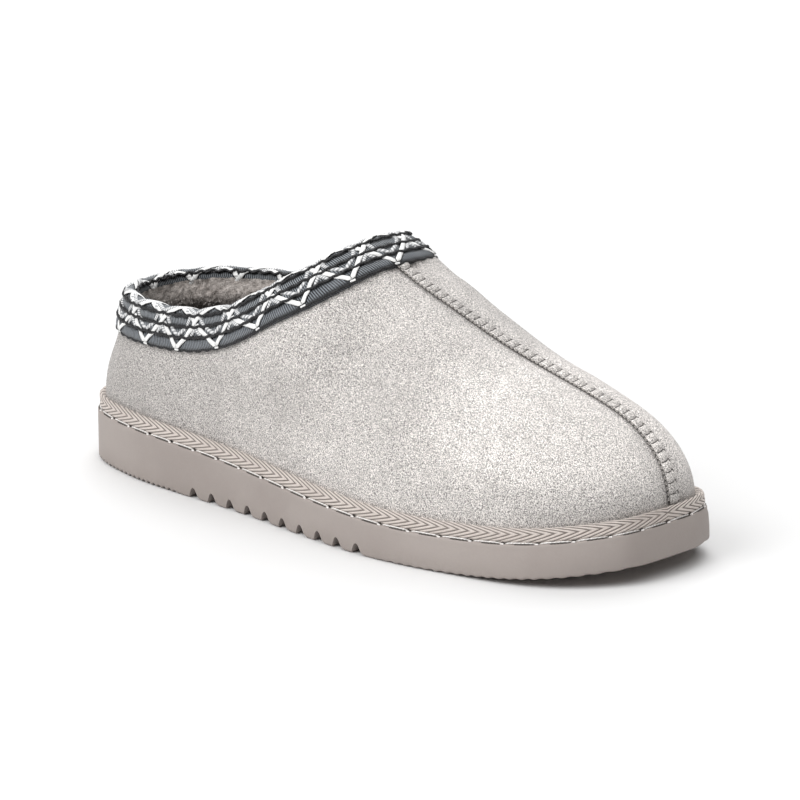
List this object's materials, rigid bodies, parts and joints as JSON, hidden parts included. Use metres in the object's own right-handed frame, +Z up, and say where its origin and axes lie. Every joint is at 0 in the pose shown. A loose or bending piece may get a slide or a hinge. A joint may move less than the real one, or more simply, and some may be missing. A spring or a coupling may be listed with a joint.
{
  "type": "clog slipper",
  "caption": "Right clog slipper: closed soft upper with a raised centre seam and a braided collar, welt tape, moulded outsole with a grooved waist, and an insole.",
  "frame": {"origin": "on the floor under the middle of the sole's box", "axes": "+X along the foot to the toe, +Y to the inner side of the right foot, +Z up"},
  "size_m": [0.285, 0.1032, 0.1082],
  "materials": {
    "sole_rubber": "moulded, satin",
    "tape_weave": "herringbone weave",
    "suede": "brushed nap",
    "braid_cord": "satin cord",
    "fleece": "plush pile"
  },
  "bodies": {
    "root": {"outsole": "sole_rubber", "welt_tape": "tape_weave", "upper": "suede", "centre_seam": "suede", "collar_braid": "braid_cord", "insole": "fleece"}
  },
  "joints": []
}
